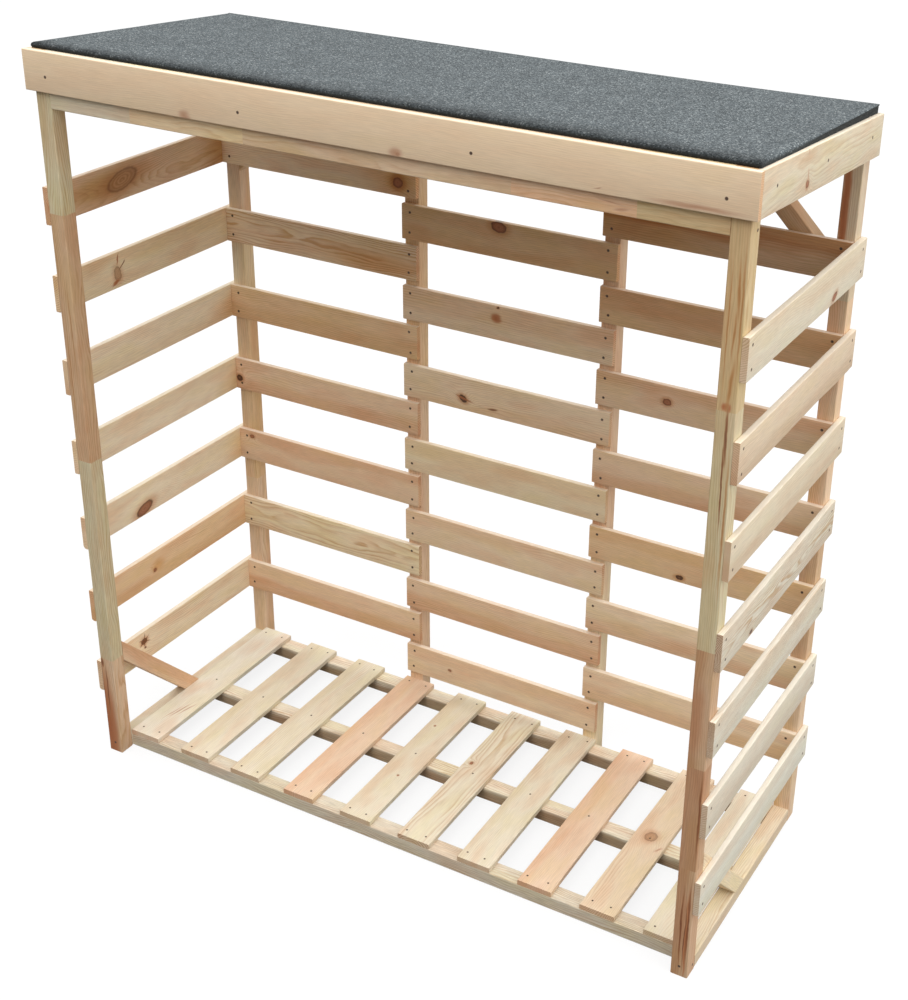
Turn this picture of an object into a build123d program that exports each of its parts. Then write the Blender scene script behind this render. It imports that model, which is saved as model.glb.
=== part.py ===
from build123d import *
import math
import os

# Log store: an open timber frame with slatted sides, back and floor under a felted lean-to roof.
# Millimetres, +Z up.  X runs left to right, the open front faces -Y, and the origin is on the
# ground in the middle of the footprint.

# ---------------------------------------------------------------- driving dimensions
WIDTH = 1310.0            # over the outer faces of the corner posts
DEPTH = 525.0             # from the front posts' front face to the back posts' back face
FRONT_HEIGHT = 1448.0     # underside of the roof at the front of the frame
ROOF_FALL = 36.0          # drop of the roof from the front of the frame to its back
HEADER_DEPTH = 100.0      # front header, below the roof; the back header lies level with it

TIMBER = 32.0             # square section of posts, headers, rails, rafters and braces
TIMBER_ROUND = 2.0        # rounded arris of the planed timber

SLAT_WIDTH = 70.0
SLAT_THICKNESS = 11.0
SLAT_ROUND = 1.5          # rounded arris of the slats
SLATS_PER_BAY = 7
FIRST_SLAT = 145.0        # underside of the lowest slat on the sides
SLAT_HEADROOM = 143.0     # from the top of the highest slat to the headers' underside

BEARER_DEPTH = 35.0       # floor bearers, lying flat
BEARER_HEIGHT = 28.0
BEARER_SETBACK = 2.0      # front bearer, behind the front posts
MIDDLE_BEARER = 216.0     # from the front posts' back face to the middle bearer
FLOOR_SLATS = 10
FLOOR_DRIFT_FRONT = (0, 0, -4, -3, 1, 4, 6, 5, 3, 0)     # each slat off its even place, as nailed
FLOOR_DRIFT_BACK = (0, -4, -5, -7, -6, -3, -3, -1, 4, 0)

BRACE_REACH = 229.0       # along post and rail, from their corner to the brace's far edge

FASCIA_WIDTH = 70.0
BOARD_THICKNESS = 8.0     # roof deck
FELT_THICKNESS = 2.5
FELT_FRONT_GAP = 5.0      # felt's front edge, behind the front of the frame
FELT_SIDE_LAP = 3.5       # felt's side edges, over the side fascias
FELT_BACK_LAP = 8.0       # felt's back edge, over the back fascia
FELT_ROUND = 2.0          # soft upper edge of the felt
FELT_CLEARANCE = 0.2      # felt turned down round the deck's edges

# ---------------------------------------------------------------- derived places
LEFT = -WIDTH / 2
RIGHT = WIDTH / 2
FRONT = -DEPTH / 2
BACK = DEPTH / 2
BACK_FRAME = BACK - TIMBER                      # front face of the back posts
HEADER_HEIGHT = FRONT_HEIGHT - HEADER_DEPTH     # clear height under both headers
BACK_BAYS = 3
BACK_POSTS = BACK_BAYS + 1
POST_PITCH = (WIDTH - TIMBER) / BACK_BAYS       # from one back post to the next
SLATTED_HEIGHT = HEADER_HEIGHT - SLAT_HEADROOM - FIRST_SLAT
SLAT_PITCH = (SLATTED_HEIGHT - SLAT_WIDTH) / (SLATS_PER_BAY - 1)
FLOOR_FRONT = FRONT + TIMBER + BEARER_SETBACK
FLOOR_SPAN = WIDTH - 2 * TIMBER                 # between the bottom rails


def roof_height(y):
    """Underside of the roof above the point y."""
    return FRONT_HEIGHT - ROOF_FALL * (y - FRONT) / DEPTH


def block(x0, x1, y0, y1, z0, z1):
    """A square-cut piece between two corners."""
    return Pos(x0, y0, z0) * Box(x1 - x0, y1 - y0, z1 - z0, align=(Align.MIN, Align.MIN, Align.MIN))


def side_profile(x0, x1, outline):
    """A piece between x0 and x1 whose side view is the outline of (y, z) points."""
    face = make_face(Polyline(*[(y, z) for y, z in outline], close=True))
    return extrude(Plane((x0, 0, 0), x_dir=(0, 1, 0), z_dir=(1, 0, 0)) * face, x1 - x0)


def plan_profile(z0, z1, outline):
    """A piece between z0 and z1 whose plan is the outline of (x, y) points."""
    face = make_face(Polyline(*outline, close=True))
    return extrude(Pos(0, 0, z0) * face, z1 - z0)


def front_profile(y0, y1, outline):
    """A piece between y0 and y1 whose front view is the outline of (x, z) points."""
    face = make_face(Polyline(*[(x, z) for x, z in outline], close=True))
    return extrude(Plane((0, y1, 0), x_dir=(1, 0, 0), z_dir=(0, -1, 0)) * face, y1 - y0)


def rounded(piece, radius):
    """Round the four long arrises of a timber or slat."""
    longest = max(edge.length for edge in piece.edges())
    along = [edge for edge in piece.edges() if edge.length > 0.75 * longest]
    return fillet(along, radius)


def back_post_x(index):
    """Left face of a back post, counted from the left."""
    return LEFT + index * POST_PITCH


# ---------------------------------------------------------------- frame
def post(x0, y0, under_header=False):
    """A post from the ground to the roof's slope, or to the underside of the header."""
    y1 = y0 + TIMBER
    if under_header:
        return rounded(block(x0, x0 + TIMBER, y0, y1, 0, HEADER_HEIGHT), TIMBER_ROUND)
    outline = [(y0, 0), (y1, 0), (y1, roof_height(y1)), (y0, roof_height(y0))]
    return rounded(side_profile(x0, x0 + TIMBER, outline), TIMBER_ROUND)


def header(y0):
    """A deep rail between two corner posts, its top cut to the roof's slope."""
    y1 = y0 + TIMBER
    outline = [(y0, HEADER_HEIGHT), (y1, HEADER_HEIGHT), (y1, roof_height(y1)), (y0, roof_height(y0))]
    return rounded(side_profile(LEFT + TIMBER, RIGHT - TIMBER, outline), TIMBER_ROUND)


def sloping_rail(x0):
    """A rail or rafter that follows the underside of the roof from front frame to back frame."""
    y0, y1 = FRONT + TIMBER, BACK_FRAME
    top0, top1 = roof_height(y0), roof_height(y1)
    outline = [(y0, top0 - TIMBER), (y1, top1 - TIMBER), (y1, top1), (y0, top0)]
    return rounded(side_profile(x0, x0 + TIMBER, outline), TIMBER_ROUND)


def brace_outline(corner, run, rise):
    """A 45 degree brace across a corner; run and rise are +1 or -1, away from the corner."""
    a, b = corner
    near = BRACE_REACH - TIMBER * math.sqrt(2)
    return [
        (a + run * near, b),
        (a + run * BRACE_REACH, b),
        (a, b + rise * BRACE_REACH),
        (a, b + rise * near),
    ]


def side_brace(x0):
    """From the front post's back face down to the bottom rail's top."""
    outline = brace_outline((FRONT + TIMBER, BEARER_HEIGHT), 1, 1)
    return rounded(side_profile(x0, x0 + TIMBER, outline), TIMBER_ROUND)


def knee_brace(post_face, run):
    """From a back corner post's inner face up to the back header."""
    outline = brace_outline((post_face, HEADER_HEIGHT), run, -1)
    return rounded(front_profile(BACK_FRAME, BACK, outline), TIMBER_ROUND)


def bottom_rail(x0):
    return rounded(block(x0, x0 + TIMBER, FRONT + TIMBER, BACK_FRAME, 0, BEARER_HEIGHT), TIMBER_ROUND)


# ---------------------------------------------------------------- slats and floor
def wall_slats(x0, x1, y0, y1, lowest):
    """A ladder of slats, one above the other."""
    slats = []
    for index in range(SLATS_PER_BAY):
        z0 = lowest + index * SLAT_PITCH
        slats.append(rounded(block(x0, x1, y0, y1, z0, z0 + SLAT_WIDTH), SLAT_ROUND))
    return Compound(children=slats)


def side_slats(x0):
    return wall_slats(x0, x0 + SLAT_THICKNESS, FRONT, BACK, FIRST_SLAT)


def back_slats(bay):
    """Slats across one bay, over the full width of both its posts.  The middle bay is staggered."""
    lowest = FIRST_SLAT
    if bay % 2 == 1:
        lowest -= SLAT_PITCH / 2
    x0, x1 = back_post_x(bay), back_post_x(bay + 1) + TIMBER
    return wall_slats(x0, x1, BACK_FRAME - SLAT_THICKNESS, BACK_FRAME, lowest)


def bearer(y0):
    x0, x1 = LEFT + TIMBER, RIGHT - TIMBER
    return rounded(block(x0, x1, y0, y0 + BEARER_DEPTH, 0, BEARER_HEIGHT), TIMBER_ROUND)


def floor_slat(index):
    """A floor slat on the bearers, its ends a few millimetres off the even spacing."""
    pitch = (FLOOR_SPAN - SLAT_WIDTH) / (FLOOR_SLATS - 1)
    even = LEFT + TIMBER + index * pitch
    front = even + FLOOR_DRIFT_FRONT[index % len(FLOOR_DRIFT_FRONT)]
    back = even + FLOOR_DRIFT_BACK[index % len(FLOOR_DRIFT_BACK)]
    outline = [
        (front, FLOOR_FRONT),
        (front + SLAT_WIDTH, FLOOR_FRONT),
        (back + SLAT_WIDTH, BACK_FRAME),
        (back, BACK_FRAME),
    ]
    return rounded(plan_profile(BEARER_HEIGHT, BEARER_HEIGHT + SLAT_THICKNESS, outline), SLAT_ROUND)


# ---------------------------------------------------------------- fascia and roof
def level_fascia(x0, x1, y0, top):
    piece = block(x0, x1, y0, y0 + SLAT_THICKNESS, top - FASCIA_WIDTH, top)
    return rounded(piece, SLAT_ROUND)


def sloping_fascia(x0):
    """A side fascia, from behind the front fascia to the back fascia's back face."""
    y0, y1 = FRONT, BACK + SLAT_THICKNESS
    top0, top1 = roof_height(y0), roof_height(y1)
    outline = [(y0, top0 - FASCIA_WIDTH), (y1, top1 - FASCIA_WIDTH), (y1, top1), (y0, top0)]
    return rounded(side_profile(x0, x0 + SLAT_THICKNESS, outline), SLAT_ROUND)


def roof_slab(inset, lift, thickness):
    """A slab on the roof's slope: inset from the felt's outline, lifted off the frame."""
    y0 = FRONT + FELT_FRONT_GAP + inset
    y1 = BACK + FELT_BACK_LAP - inset
    low0, low1 = roof_height(y0) + lift, roof_height(y1) + lift
    outline = [(y0, low0), (y1, low1), (y1, low1 + thickness), (y0, low0 + thickness)]
    return side_profile(LEFT - FELT_SIDE_LAP + inset, RIGHT + FELT_SIDE_LAP - inset, outline)


def roof_felt():
    """Thick felt over the deck, turned down round all four edges."""
    outer = roof_slab(0, 0, BOARD_THICKNESS + FELT_THICKNESS)
    upper = outer.faces().sort_by(Axis.Z)[-1].edges()
    outer = fillet(upper, FELT_ROUND)
    return outer - roof_slab(FELT_THICKNESS, 0, BOARD_THICKNESS)


# ---------------------------------------------------------------- the assembly
pieces = {
    "front_post_left": post(LEFT, FRONT),
    "front_post_right": post(RIGHT - TIMBER, FRONT),
    "front_header": header(FRONT),
    "back_header": header(BACK_FRAME),
    "top_rail_left": sloping_rail(LEFT),
    "top_rail_right": sloping_rail(RIGHT - TIMBER),
    "rafter_left": sloping_rail(back_post_x(1)),
    "rafter_right": sloping_rail(back_post_x(2)),
    "brace_left": side_brace(LEFT),
    "brace_right": side_brace(RIGHT - TIMBER),
    "knee_brace_left": knee_brace(LEFT + TIMBER, 1),
    "knee_brace_right": knee_brace(RIGHT - TIMBER, -1),
    "bottom_rail_left": bottom_rail(LEFT),
    "bottom_rail_right": bottom_rail(RIGHT - TIMBER),
    "bearer_front": bearer(FLOOR_FRONT),
    "bearer_middle": bearer(FRONT + TIMBER + MIDDLE_BEARER),
    "bearer_back": bearer(BACK_FRAME - BEARER_DEPTH),
    "side_slats_left": side_slats(LEFT - SLAT_THICKNESS),
    "side_slats_right": side_slats(RIGHT),
    "back_slats_left": back_slats(0),
    "back_slats_middle": back_slats(1),
    "back_slats_right": back_slats(2),
    "fascia_front": level_fascia(
        LEFT - SLAT_THICKNESS, RIGHT + SLAT_THICKNESS, FRONT - SLAT_THICKNESS, roof_height(FRONT)),
    "fascia_left": sloping_fascia(LEFT - SLAT_THICKNESS),
    "fascia_right": sloping_fascia(RIGHT),
    "fascia_back": level_fascia(LEFT, RIGHT, BACK, roof_height(BACK + SLAT_THICKNESS)),
    "roof_board": roof_slab(FELT_THICKNESS + FELT_CLEARANCE, 0, BOARD_THICKNESS - FELT_CLEARANCE),
    "roof_felt": roof_felt(),
}
for number in range(BACK_POSTS):
    corner_post = number in (0, BACK_POSTS - 1)
    pieces[f"back_post_{number + 1}"] = post(back_post_x(number), BACK_FRAME, not corner_post)
for number in range(FLOOR_SLATS):
    pieces[f"floor_slat_{number + 1:02d}"] = floor_slat(number)

os.makedirs("parts", exist_ok=True)
for node, shape in pieces.items():
    export_step(shape, f"parts/{node}.step")
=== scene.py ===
"""Log store: an open softwood frame with slatted sides, back and floor under a felted lean-to roof."""

import logging
import math
import random
from collections.abc import Callable, Iterable, Sequence
from dataclasses import dataclass, field
from enum import Enum
from functools import partial
from typing import Any

import bmesh
import bpy
from mathutils import Euler, Matrix, Vector, noise


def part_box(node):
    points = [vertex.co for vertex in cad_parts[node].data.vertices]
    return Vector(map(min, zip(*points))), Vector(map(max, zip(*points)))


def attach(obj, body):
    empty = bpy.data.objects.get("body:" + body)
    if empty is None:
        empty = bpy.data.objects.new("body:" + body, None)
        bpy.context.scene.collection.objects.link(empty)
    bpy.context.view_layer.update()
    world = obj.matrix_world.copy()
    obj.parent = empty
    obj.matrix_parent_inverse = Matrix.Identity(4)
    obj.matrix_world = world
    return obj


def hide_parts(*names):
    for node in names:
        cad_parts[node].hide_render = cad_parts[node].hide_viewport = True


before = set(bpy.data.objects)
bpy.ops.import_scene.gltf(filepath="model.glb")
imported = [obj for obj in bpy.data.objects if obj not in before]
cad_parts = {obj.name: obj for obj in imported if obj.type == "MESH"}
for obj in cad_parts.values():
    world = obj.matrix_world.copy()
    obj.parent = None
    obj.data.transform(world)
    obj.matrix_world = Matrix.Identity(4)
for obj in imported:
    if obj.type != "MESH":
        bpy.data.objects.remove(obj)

log = logging.getLogger("log_store")

MM = 0.001
BODY = "root"
X, Y, Z = Vector((1, 0, 0)), Vector((0, 1, 0)), Vector((0, 0, 1))
AXES = {"X": X, "Y": Y, "Z": Z}

Colour = tuple[float, float, float, float]
Feed = Any  # what a node takes in: another node, one of its sockets, a plain value or a hex colour
Adder = Callable[..., bpy.types.Node]  # adds a node to one material's tree
Spot = tuple[Vector, Vector]  # a place on a face and the direction out of it

# Settings that many nodes share.
SMOOTH = {"interpolation_type": "SMOOTHSTEP"}
LAID_OVER = {"data_type": "RGBA", "blend_type": "MIX"}
GLAZED = {"data_type": "RGBA", "blend_type": "MULTIPLY"}
ORGANIC = {"IOR": 1.5, "Specular IOR Level": 0.3}  # wood and bitumen: a weak, broken shine


# ------------------------------------------------------------------ nodes and colours
def srgb(code: Any) -> Any:
    """Turn an sRGB hex colour into Blender's linear colour.

    Args:
        code: colour such as "#E6D2B0"; anything that isn't text stays as it is.

    Returns:
        Linear red, green, blue and an alpha of 1.
    """
    if not isinstance(code, str):
        return code
    parts = [int(code[i : i + 2], 16) / 255 for i in (1, 3, 5)]
    red, green, blue = (c / 12.92 if c <= 0.04045 else ((c + 0.055) / 1.055) ** 2.4 for c in parts)
    return (red, green, blue, 1.0)


def grey(level: float) -> Colour:
    """A linear grey of that level."""
    return (level, level, level, 1.0)


def add_node(
    tree: bpy.types.NodeTree,
    kind: str,
    *feeds: Feed,
    sockets: dict[str, Feed] | None = None,
    stops: Iterable[tuple[float, Feed]] = (),
    steps: bool = False,
    **settings: Any,
) -> bpy.types.Node:
    """Add one node with its settings and links.

    Args:
        tree: tree that the node goes into.
        kind: node type without its ShaderNode prefix.
        feeds: what each live input takes in, in turn; a node gives its first live output.
        sockets: what further inputs take in, by name.
        stops: a colour ramp's places and colours.
        steps: whether the ramp jumps from one colour to the next.
        settings: the node's own properties.

    Returns:
        The new node.
    """
    made = tree.nodes.new("ShaderNode" + kind)
    for name, value in settings.items():
        setattr(made, name, value)
    if stops := list(stops):
        ramp = made.color_ramp
        ramp.interpolation = "CONSTANT" if steps else "LINEAR"
        while len(ramp.elements) < len(stops):
            ramp.elements.new(1.0)
        for element, (place, colour) in zip(ramp.elements, stops):
            element.position, element.color = place, srgb(colour)
    live = [socket for socket in made.inputs if socket.enabled]
    fed = list(zip(live, feeds))
    for name, value in (sockets or {}).items():
        fed.append((next(socket for socket in live if socket.name == name), value))
    for socket, value in fed:
        if isinstance(value, bpy.types.Node):
            value = next(output for output in value.outputs if output.enabled)
        if isinstance(value, bpy.types.NodeSocket):
            tree.links.new(value, socket)
        else:
            socket.default_value = srgb(value)
    return made


def new_material(name: str) -> tuple[bpy.types.Material, Adder]:
    """Start an empty node material.

    Args:
        name: name of the material.

    Returns:
        The material and the function that adds nodes to it.
    """
    material = bpy.data.materials.new(name)
    material.use_nodes = True
    material.node_tree.nodes.clear()
    return material, partial(add_node, material.node_tree)


def dress(node: str, material: bpy.types.Material) -> bpy.types.Object:
    """Give a CAD node its material.

    Args:
        node: name of the node.
        material: its material.

    Returns:
        The node's object.
    """
    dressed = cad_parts[node]
    if not dressed.material_slots:
        dressed.data.materials.append(material)
    for slot in dressed.material_slots:
        slot.material = material
    return dressed


def add_piece(
    name: str,
    shape: bmesh.types.BMesh,
    materials: Sequence[bpy.types.Material],
    stands_for: str | None = None,
    crease: float = 35.0,
) -> bpy.types.Object:
    """Turn a shape into a piece that rides on the frame.

    Args:
        name: name of the piece.
        shape: its mesh in metres, which is freed.
        materials: its materials, in the order of the faces' numbers.
        stands_for: CAD node that it replaces.
        crease: edges that turn more than this many degrees stay sharp.

    Returns:
        The new object.
    """
    bmesh.ops.recalc_face_normals(shape, faces=shape.faces)
    for face in shape.faces:
        face.smooth = True
    mesh = bpy.data.meshes.new(name)
    shape.to_mesh(mesh)
    shape.free()
    mesh.set_sharp_from_angle(angle=math.radians(crease))
    for material in materials:
        mesh.materials.append(material)
    piece = bpy.data.objects.new(name, mesh)
    bpy.context.scene.collection.objects.link(piece)
    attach(piece, BODY)
    if stands_for:
        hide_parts(stands_for)
    return piece


# ------------------------------------------------------------------ places
@dataclass(frozen=True)
class Lie:
    """How a board lies: its low corner, the way its grain runs and the way its width runs."""

    origin: Vector
    along: Vector
    across: Vector
    length: float
    fall: float = 0.0  # drop for each metre along, for a board that follows the roof

    @property
    def turn(self) -> Matrix:
        """Rotation whose columns are along, across and through the board."""
        return Matrix((self.along, self.across, self.along.cross(self.across))).transposed()

    def point(self, u: float, v: float, w: float) -> Vector:
        """A point from millimetres along, across and through the board."""
        return self.origin + self.turn @ (Vector((u, v, w)) * MM) - self.across * (self.fall * u * MM)

    @classmethod
    def of(cls, low: Vector, high: Vector, along: str, across: str) -> "Lie":
        """Read a straight board's lie from its box.

        Args:
            low: lowest corner in metres.
            high: highest corner in metres.
            along: axis the grain follows, X, Y or Z.
            across: axis the board's width follows.

        Returns:
            The lie, from the board's low end and low edge, half way through its thickness.
        """
        origin = Vector(low)
        thin = next(i for i, name in enumerate(AXES) if name not in (along, across))
        origin[thin] = (low[thin] + high[thin]) / 2
        return cls(origin, AXES[along], AXES[across], (high - low).dot(AXES[along]))

    @classmethod
    def of_node(cls, node: str, along: str, across: str) -> "Lie":
        """The lie of a CAD node's board."""
        return cls.of(*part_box(node), along, across)

    @classmethod
    def slanting(cls, node: str, along: Vector, across: Vector) -> "Lie":
        """The lie of a brace, measured from the middle of its box."""
        low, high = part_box(node)
        return cls((low + high) / 2, along.normalized(), across.normalized(), 0.4)


# ------------------------------------------------------------------ wood
class Tone(Enum):
    """Sapwood and heartwood colours of freshly planed softwood; the dark heartwood of the last one is painted
    shade.
    """

    CREAM = ("#DFD5BF", "#DACCB3")
    PALE = ("#D8D0BE", "#D3C8B4")
    SAND = ("#DBCEB5", "#D7C4A9")
    ROSY = ("#DAC7AD", "#D1B99D")
    FROST = ("#DCD8C8", "#D8D0BE")
    MILK = ("#F7E8CD", "#F1DFC1")
    BEIGE = ("#E6CDAD", "#E0BF9A")
    SHELL = ("#E1CDB2", "#DABFA0")
    LIME = ("#E9E1CF", "#EADBC5")
    IVORY = ("#F1E1C5", "#EBD8B9")
    STRAW = ("#EBD9B8", "#E6CDA7")
    PEACH = ("#F6DEC0", "#F2D3B0")
    BLUSH = ("#EAD2B3", "#E5C5A3")
    PINK = ("#E6C8A8", "#DFB793")
    GOLD = ("#EDCEA8", "#E6C398")
    AMBER = ("#E5C49C", "#DEB98D")
    TAN = ("#DFBB92", "#D9AE84")
    ORANGE = ("#E2C8AE", "#DEBD9F")
    OAT = ("#DDC2A3", "#D2B38F")
    HONEY = ("#DBBD98", "#D0AB85")
    TAWNY = ("#CFAE8B", "#C29E7C")
    WALNUT = ("#D6B594", "#C09167")
    BROWN = ("#CAA989", "#B98F6D")
    GREEN = ("#D3C7A6", "#CAB993")
    OLIVE = ("#D1BA90", "#C9AD82")
    SHADE_HEART = ("#E6DDC9", "#B39B7E")  # pale outside, dark towards the pith; on the bearers this dark heartwood is painted shade


class Cut(Enum):
    """Where the pith lies from the middle of the board: across its width, and through it, in mm."""

    QUARTER = (95.0, 14.0)  # straight close lines on the face
    RIFT = (62.0, 40.0)  # wider straight lines
    FLAT = (9.0, 34.0)  # arches and long ovals on the face


@dataclass(frozen=True)
class Look:
    """How a mark is coloured from its middle out, and how it ends."""

    colours: tuple[str, str, str, str]
    cover: float  # how much of the wood it hides
    sharp: float  # where it starts to fade out, 1 at its edge
    halo: float = 0.0  # darker wood round a knot
    years: float = 0.0  # strength of a knot's own rings
    tint: bool = False  # colours the wood and leaves its grain to show


class Kind(Enum):
    """What left a mark in the board, or a zone of painted shade."""

    WARM_PAINTED_SHADE = Look(("#F3E0C2", "#F3E0C2", "#F4E3C8", "#F6E8D2"), 0.95, 0.2, tint=True)  # painted shade: a warmer, slightly darker zone that stands in for shade
    DEEP_PAINTED_SHADE = Look(("#D8C096", "#D8C096", "#DEC9A3", "#E6D6B6"), 0.95, 0.2, tint=True)  # painted shade: a deeper, darker zone that stands in for shade
    LIVE = Look(("#96583A", "#AA6E4E", "#9E6242", "#5E3622"), 0.9, 0.88, 0.7, 0.35)  # tight brown knot
    DEAD = Look(("#8A6242", "#5A3724", "#452A1D", "#2E1C14"), 0.92, 0.9, 0.8, 0.3)  # with a bark ring
    RING = Look(("#BC8F66", "#C0956B", "#B5895F", "#80583A"), 0.6, 0.9, 0.5, 0.6)  # large pale knot
    RUST = Look(("#A2562C", "#AC643A", "#B87850", "#C5946D"), 0.9, 0.45)  # reddish stain, no rim
    PITH = Look(("#693922", "#7E492B", "#996540", "#B68A62"), 0.88, 0.5)  # dark line of the pith
    RESIN = Look(("#A66D38", "#B17A45", "#BF8E5D", "#CBA77B"), 0.8, 0.3)  # resin along the grain
    FAINT = Look(("#B68364", "#C39577", "#CFA689", "#D8B698"), 0.8, 0.3)  # faint pink trace


@dataclass(frozen=True)
class Mark:
    """A knot, streak, stain or zone of painted shade, in millimetres from the board's low end and low edge.
    """

    along: float
    across: float
    long: float
    wide: float
    kind: Kind = Kind.LIVE
    tilt: float = 0.0


LATE_WOOD = "#B08A70"  # late rings across the grain, in knots and on sawn ends
# One year's ring, from early wood to late: place and darkness.
YEAR = ((0.0, 0.5), (0.1, 0.0), (0.45, 0.1), (0.8, 0.7), (0.92, 1.0), (1.0, 0.55))
# How far the tree of one finger-jointed length can be from the next one's, in mm.
TREES_APART = (900.0, 30.0, 24.0)


@dataclass(frozen=True)
class Trunk:
    """Coordinates of the tree that a board was cut from, and where its pith lies in the board."""

    grown: Feed  # board coordinates that start afresh at each finger joint
    reach: float  # pith from the board's middle, across its width, in mm
    depth: float  # pith from the board's middle, through its thickness


@dataclass(frozen=True)
class Pine:
    """Planed spruce or pine.

    Rings are drawn round the tree's pith, which lies outside most boards, so that faces, edges and
    ends all show the same tree. Planing leaves the hard latewood lines a little proud and glossier.
    """

    seed: int
    tones: tuple[Tone, ...] = (Tone.CREAM,)
    joints: tuple[float, ...] = ()  # finger joints, millimetres from the low end
    cut: Cut = Cut.QUARTER
    width: float = 70.0  # across the board, millimetres
    ring_mm: float = 3.4  # spruce and pine grow rings of 2 to 4 mm
    heart: float = 0.4  # share of the board that is heartwood
    grain: float = 0.5  # strength of the latewood lines
    fibre: float = 1.0  # strength of the fine dashes
    cloud: float = 0.6  # strength of the pinkish and yellowish zones
    wander_mm: float = 8.0  # how far the pith strays along the board
    marks: tuple[Mark, ...] = ()
    pith: tuple[float, float] | None = None  # given, from the low edge and mid-thickness

    def spread(self, add: Adder, place: Feed, size: Sequence[float], detail: float = 1.0) -> bpy.types.Node:
        """Smooth noise whose cells have a given size in millimetres.

        Args:
            add: adds nodes to the material.
            place: board coordinates in millimetres.
            size: cell size along, across and through the board.
            detail: octaves above the first.

        Returns:
            The noise node.
        """
        shift = sum(size) + self.seed * 3.7
        start, shrink = (shift, shift * 0.7, shift * 1.3), [1 / s for s in size]
        cells = add("Mapping", sockets={"Vector": place, "Location": start, "Scale": shrink})
        return add("TexNoise", sockets={"Vector": cells, "Scale": 1.0, "Detail": detail})

    def nearest(self, add: Adder, place: Feed, kind: Kind) -> Feed:
        """Distance from the nearest mark of a kind, 1 at the mark's edge.

        Args:
            add: adds nodes to the material.
            place: board coordinates in millimetres.
            kind: kind of mark.

        Returns:
            The distance.
        """
        all_through = 1e5  # a mark shows on every face that it lies over
        near = None
        for mark in (m for m in self.marks if m.kind is kind):
            local = add(
                "Mapping",
                sockets={
                    "Vector": place,
                    "Location": (mark.along, mark.across, 0.0),
                    "Rotation": (0.0, 0.0, math.radians(mark.tilt)),
                    "Scale": (mark.long / 2, mark.wide / 2, all_through),
                },
                vector_type="TEXTURE",
            )
            far = add("VectorMath", local, operation="LENGTH").outputs["Value"]
            near = far if near is None else add("Math", near, far, operation="MINIMUM")
        return near

    def distances(self, add: Adder, place: Feed) -> dict[Kind, Feed]:
        """Distance from the nearest mark of each kind that the board has, with ragged edges.

        Args:
            add: adds nodes to the material.
            place: board coordinates in millimetres.

        Returns:
            The distances by kind.
        """
        near = {}
        for kind in (kind for kind in Kind if any(mark.kind is kind for mark in self.marks)):
            knot = kind.value.halo > 0
            size, sway = ((8, 5, 5), (5.0, 4.0, 0.0)) if knot else ((40, 12, 12), (12.0, 5.0, 0.0))
            rag = self.spread(add, place, size, 2.0).outputs["Color"]
            ragged = add("VectorMath", rag, sway, place, operation="MULTIPLY_ADD")
            evened = add("VectorMath", ragged, [s / 2 for s in sway], operation="SUBTRACT")
            near[kind] = self.nearest(add, evened, kind)
        return near

    def lengths(self, add: Adder, place: Feed, lie: Lie, dice: random.Random) -> tuple[Feed, Feed, Feed]:
        """Sapwood, heartwood and tree of each finger-jointed length.

        Short teeth show on one pair of faces.

        Args:
            add: adds nodes to the material.
            place: board coordinates in millimetres.
            lie: how the board lies.
            dice: the board's own random numbers.

        Returns:
            Colours of the sapwood and heartwood, and coordinates that differ from length to length.
        """
        tones = [self.tones[i % len(self.tones)].value for i in range(len(self.joints) + 1)]
        if not self.joints:
            return *tones[0], place
        tooth_mm, slope = 1.9, 1.6  # half a tooth's width, and its length for each millimetre of that
        apart = add("SeparateXYZ", place)
        tooth = add("Math", apart.outputs[2], tooth_mm, operation="PINGPONG")
        toothed = add("Math", tooth, slope, apart.outputs[0], operation="MULTIPLY_ADD")
        share = add("Math", toothed, lie.length / MM, operation="DIVIDE")
        starts = [0.0] + [joint * MM / lie.length for joint in self.joints]
        trees = [(dice.random(), dice.random(), dice.random(), 1.0) for _ in starts]
        sap, heart, other = (
            add("ValToRGB", share, stops=zip(starts, values), steps=True)
            for values in (*zip(*tones), trees)
        )
        return sap, heart, add("VectorMath", other, TREES_APART, place, operation="MULTIPLY_ADD")

    def trunk(self, grown: Feed, dice: random.Random) -> Trunk:
        """Choose where the pith lies.

        Args:
            grown: coordinates that differ from length to length.
            dice: the board's own random numbers.

        Returns:
            The board's tree.
        """
        reach, depth = (axis * dice.uniform(0.85, 1.2) * dice.choice((-1, 1)) for axis in self.cut.value)
        if self.cut is Cut.FLAT:
            reach = dice.uniform(-1, 1) * abs(reach)
        if self.pith:
            reach, depth = self.pith[0] - self.width / 2, self.pith[1]
        return Trunk(grown, reach, depth)

    def radius(self, add: Adder, trunk: Trunk, near: dict[Kind, Feed]) -> Feed:
        """Distance from a pith that strays along the board.

        Args:
            add: adds nodes to the material.
            trunk: the board's tree.
            near: distances from the marks.

        Returns:
            The distance in millimetres, which knots push up.
        """
        stray = self.spread(add, trunk.grown, (230, 80, 80), 1.5).outputs["Color"]
        wander = (0.0, 4 * self.wander_mm, 3 * self.wander_mm)
        strayed = add("VectorMath", stray, wander, trunk.grown, operation="MULTIPLY_ADD")
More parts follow.
